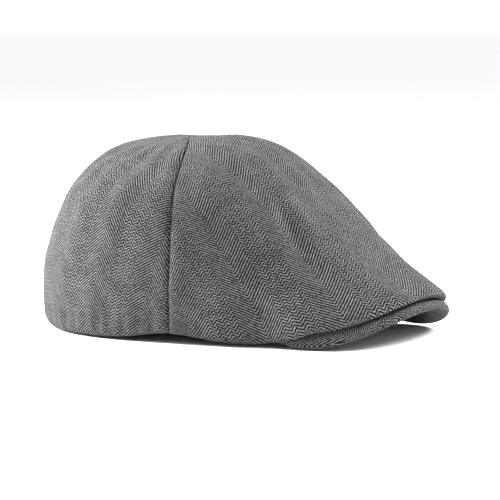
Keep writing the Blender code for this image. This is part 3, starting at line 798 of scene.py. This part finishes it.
def stitches(name, route, spacing, look, node):
    """Separate stitches along a closed route: short rounded capsules with a gap between them."""
    fine = np.linspace(-math.pi, math.pi, 3000)
    points = route(fine)
    length = np.concatenate([[0], np.cumsum(np.linalg.norm(np.diff(points, axis=0), axis=1))])
    count = int(length[-1] / spacing)
    profile = [(0.0, 0.10), (0.12, 0.75), (0.5, 1.0), (0.88, 0.75), (1.0, 0.10)]
    sides, radius, verts, faces = 6, 0.00028, [], []
    for start in np.arange(count) * length[-1] / count:
        ends = [np.array([np.interp(start + reach * spacing, length, points[:, axis]) for axis in range(3)])
                for reach in (0.08, 0.86)]
        along = normalised(ends[1] - ends[0])
        inward = normalised(np.array([-ends[0][0], HEAD_CENTRE_Y - ends[0][1], 0.0]))
        upward = np.cross(along, inward)
        first = len(verts)
        for share, size in profile:
            centre = ends[0] + (ends[1] - ends[0]) * share + inward * 0.00012 * math.sin(math.pi * share)
            for side in range(sides):
                angle = 2 * math.pi * side / sides
                spoke = math.cos(angle) * inward + math.sin(angle) * upward
                verts.append(centre + spoke * radius * size)
        for ring in range(len(profile) - 1):
            for side in range(sides):
                a, b = first + ring * sides + side, first + ring * sides + (side + 1) % sides
                faces.append((a, b, b + sides, a + sides))
        faces.append(tuple(first + side for side in reversed(range(sides))))
        faces.append(tuple(first + (len(profile) - 1) * sides + side for side in range(sides)))
    mesh = bpy.data.meshes.new(name)
    mesh.from_pydata([tuple(v) for v in verts], [], faces)
    mesh.shade_smooth()
    piece = bpy.data.objects.new(name, mesh)
    bpy.context.collection.objects.link(piece)
    return finish_piece(piece, look, "cap", [node])


def padding(look):
    """Foam strip behind the sweatband at the forehead, thin at its edges."""
    azimuth = np.radians(np.linspace(-44, 44, 120))
    rises = np.linspace(0.0070, 0.0200, 14)
    up = np.linspace(0, 1, 14)
    plump = 0.0014 * np.maximum(np.sin(math.pi * up), 0) ** 0.35
    inner = np.full(14, BAND_THICKNESS + 0.0004)
    piece = cloth("forehead_padding", band_grid(azimuth, rises, inner + np.maximum(plump, 0.0002)),
                  band_grid(azimuth, rises, inner), band_pattern(azimuth, rises))
    finish_piece(piece, look, "cap", ["sweatband_padding"])


def elastic(look):
    """Ribbed elastic behind the sweatband at the back of the head."""
    azimuth = math.pi + np.radians(np.linspace(-52, 52, 300))
    azimuth_about = np.where(azimuth > math.pi, azimuth - 2 * math.pi, azimuth)
    rises = np.linspace(0.0070, 0.0220, 12)
    wave = BAND_THICKNESS + 0.0009 + 0.0002 * np.sin(azimuth * 132)
    outer = band_grid(azimuth_about, rises, [wave + 0.0005] * 12)
    inner = band_grid(azimuth_about, rises, [wave - 0.0003] * 12)
    piece = cloth("elastic_strip", outer, inner, band_pattern(azimuth, rises))
    finish_piece(piece, look, "cap", ["back_elastic"])


# --- Bill ---------------------------------------------------------------------------------------------
BILL_COLUMNS = np.linspace(-BILL_LIMIT, BILL_LIMIT, 181)


def edge_frame(azimuth):
    """Plan points of the bill's edge, and the inward direction square to it."""
    nudge = 1e-4
    edge = np.stack(plan_point(azimuth, bill_edge_radius(azimuth)), -1)
    ahead = np.stack(plan_point(azimuth + nudge, bill_edge_radius(azimuth + nudge)), -1)
    along = normalised(ahead - edge)
    return edge, np.stack([-along[:, 1], along[:, 0]], -1)


def bill_rows(insets, heights, root_clear, count):
    """Rows of points round the bill's edge, then back to its root round the head."""
    edge, inward = edge_frame(BILL_COLUMNS)
    plans = [edge + inset * inward for inset in insets]
    root = np.stack(plan_point(BILL_COLUMNS, head_radius(BILL_COLUMNS, root_clear)), -1)
    plans += [plans[-1] + (root - plans[-1]) * share for share in np.linspace(0, 1, count)[1:]]
    levels = list(heights) + [heights[-1]] * (count - 1)
    return np.array([np.stack([plan[:, 0], plan[:, 1], bill_face(plan[:, 0], plan[:, 1], level)], -1)
                     for plan, level in zip(plans, levels)])


def bill_cover(name, side, look):
    """Cloth over one face of the bill, turned round its edge to the seam at the middle."""
    angles = np.radians(np.linspace(1.5, 90, 12))
    faces = []
    for radius in (NOSE_RADIUS, NOSE_RADIUS - BILL_COVER):
        insets = NOSE_RADIUS - radius * np.cos(angles)
        heights = side * radius * np.sin(angles)
        faces.append(bill_rows(insets, heights, BAND_THICKNESS + 0.0005, 40))
    outer, inner = faces
    x, y = outer[..., 0], outer[..., 1]
    climb = np.linalg.norm(np.diff(outer, axis=0), axis=-1)
    along = np.concatenate([np.zeros((1, outer.shape[1])), np.cumsum(climb, axis=0)])
    pattern = np.stack([x * 1000 * 1.04, (along + y[0]) * 1000], -1)
    if side < 0:
        outer, inner, pattern = outer[::-1], inner[::-1], pattern[::-1]
    piece = cloth(name + "_cloth", outer, inner, pattern)
    finish_piece(piece, look, "cap", [name])


# --- Labels -------------------------------------------------------------------------------------------
LABEL_THICKNESS = 0.0003


def size_label(look):
    azimuth = math.pi + np.radians(np.linspace(-7, 7, 31))
    azimuth_about = np.where(azimuth > math.pi, azimuth - 2 * math.pi, azimuth)
    rises = np.linspace(0.0060, 0.0190, 18)
    lift = -0.0006 - 0.0003 * np.sin(math.pi * np.linspace(0, 1, 18))
    outer = band_grid(azimuth_about, rises, lift)
    inner = band_grid(azimuth_about, rises, lift - LABEL_THICKNESS)
    piece = cloth("size_tab", outer, inner, band_pattern(azimuth, rises))
    finish_piece(piece, look, "cap", ["size_label"])


def crown_label(look):
    """Blank woven patch, slightly puffed between its sewn edges."""
    steps = np.linspace(0.8, LAST_STEP, 160)
    azimuth = math.pi + np.radians(np.linspace(-17, 17, 41))
    share = np.linspace(0.36, 0.50, 21)
    points = lining_columns(np.broadcast_to(azimuth, (len(steps), 41)), steps, share)
    inward = normalised(np.array([0, APEX_Y, 0.03]) - points)
    up, across = (np.sin(math.pi * np.linspace(0, 1, count)) ** 0.5 for count in (21, 41))
    puff = np.outer(up, across)
    outer = points + inward * (0.0024 + 0.0006 * puff)[..., None]
    inner = outer + inward * LABEL_THICKNESS
    piece = cloth("crown_patch", outer, inner, lining_pattern(points))
    finish_piece(piece, look, "cap", ["crown_label"])


def care_label(look):
    """Blank satin label that hangs from its sewn top edge, a little curled at its foot."""
    low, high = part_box("care_label")
    across = np.linspace(low[1], high[1], 25)
    down = np.linspace(0, 1, 31)
    centre = (low[0] + high[0]) / 2
    curl = -0.0016 * down ** 2 - 0.0005 * down * np.sin(3 * math.pi * down)
    y, share = np.meshgrid(across, down)
    x = centre + curl[:, None] + 0.0003 * np.sin((y - low[1]) * 300) * share
    z = high[2] - (high[2] - low[2]) * share
    outer = np.stack([x, y, z], -1)[::-1]
    shift = np.array([-LABEL_THICKNESS, 0, 0])
    pattern = np.stack([y * 1000, z * 1000], -1)[::-1]
    piece = cloth("care_tag", outer, outer + shift, pattern)
    finish_piece(piece, look, "care_label", ["care_label"])


# --- Room ---------------------------------------------------------------------------------------------
FLOOR_REACH = 60.0          # far enough for the floor to meet the sky at the horizon
LAMP_SIZE = 0.8
KEY_PLACE, KEY_POWER = (-0.40, 1.50, 0.80), 130
FRONT_PLACE, FRONT_POWER = (0.75, -0.75, 1.05), 56
LAMP_TARGET = (0, 0, 0.06)


def studio():
    """Wide pale floor, a key light from behind, a softer one from the front and above, and an even sky."""
    mesh = bpy.data.meshes.new("floor")
    corners = [(x * FLOOR_REACH, y * FLOOR_REACH, 0) for x, y in ((-1, -1), (1, -1), (1, 1), (-1, 1))]
    mesh.from_pydata(corners, [], [(0, 1, 2, 3)])
    floor = bpy.data.objects.new("floor", mesh)
    bpy.context.collection.objects.link(floor)
    floor.data.materials.append(solid_look("pale_floor", 0.93, 0.97, 0.9, 2.0, 0.0))

    world = bpy.data.worlds.new("studio")
    bpy.context.scene.world = world
    world.use_nodes = True
    world.node_tree.nodes["Background"].inputs["Color"].default_value = (1, 1, 1, 1)
    world.node_tree.nodes["Background"].inputs["Strength"].default_value = 1.0
    area_light("key", KEY_PLACE, LAMP_SIZE, KEY_POWER)
    area_light("front", FRONT_PLACE, LAMP_SIZE, FRONT_POWER)


def area_light(name, place, size, power):
    data = bpy.data.lights.new(name, "AREA")
    data.size = size
    data.energy = power
    lamp = bpy.data.objects.new(name, data)
    bpy.context.collection.objects.link(lamp)
    lamp.location = place
    aim(lamp, LAMP_TARGET)


def aim(thing, target):
    heading = Vector(target) - thing.location
    thing.rotation_euler = heading.to_track_quat("-Z", "Y").to_euler()


def camera():
    data = bpy.data.cameras.new("camera")
    data.lens = LENS
    data.sensor_width = 36.0
    data.shift_x, data.shift_y = VIEW_SHIFT
    data.clip_end = 20
    eye = bpy.data.objects.new("camera", data)
    bpy.context.collection.objects.link(eye)
    flat = math.cos(VIEW_ELEVATION)
    heading = (math.sin(VIEW_AZIMUTH) * flat, -math.cos(VIEW_AZIMUTH) * flat, math.sin(VIEW_ELEVATION))
    eye.location = [t + VIEW_DISTANCE * h for t, h in zip(VIEW_TARGET, heading)]
    aim(eye, VIEW_TARGET)
    bpy.context.scene.camera = eye


def hidden_layers():
    """Better materials for the CAD pieces that stay: all lie between the lining and the shell."""
    tape = solid_look("tape_weave", 0.020, 0.045, 0.9, 900.0, 0.0001)
    felt = solid_look("interfacing_felt", 0.03, 0.07, 0.95, 500.0, 0.0002)
    plastic = solid_look("board_plastic", 0.70, 0.78, 0.45, 60.0, 0.00005)
    cotton = thread_look("hidden_thread", 0.03, 0.09)
    looks = {"front_interfacing": felt, "cross_seam_tape": tape, "back_seam_tape": tape,
             "bill_board": plastic, "cross_seam_stitch": cotton, "back_seam_stitch": cotton,
             "bill_edge_stitch": cotton, "front_tack_stitch": cotton}
    for name, look in looks.items():
        node = bpy.data.objects[name]
        node.data.materials.clear()
        node.data.materials.append(look)


def build():
    shell = herringbone("herringbone", 0.002, 0.172, 0.02)
    # Copy of the shell herringbone with slightly darker light lines for the bill's underside: painted shade
    # on the same cloth as the top
    under = herringbone("herringbone_under_painted_shade", 0.002, 0.165, 0.02)
    satin = plain_weave("lining_satin", 0.010, 0.032, 0.35, 0.36, sheen=0.1)
    twill = plain_weave("band_twill", 0.008, 0.035, 0.9, 0.8, sheen=0.2, diagonal=1.0)
    ribbed = plain_weave("elastic_weave", 0.45, 0.75, 0.8, 0.8)
    woven = plain_weave("label_weave", 0.42, 0.62, 0.4, 0.6, tint=0.97)
    foam = solid_look("foam", 0.45, 0.66, 0.95, 700.0, 0.0004, tint=0.9)
    dark_thread = thread_look("sewing_thread", 0.05, 0.16)
    crown_panels(shell)
    lining(satin)
    sweatband(twill, dark_thread)
    padding(foam)
    elastic(ribbed)
    bill_cover("bill_top_cover", +1, shell)
    bill_cover("bill_under_cover", -1, under)
    size_label(woven)
    crown_label(woven)
    care_label(woven)
    hidden_layers()
    studio()
    camera()


build()
bpy.context.scene.view_settings.view_transform = "Standard"
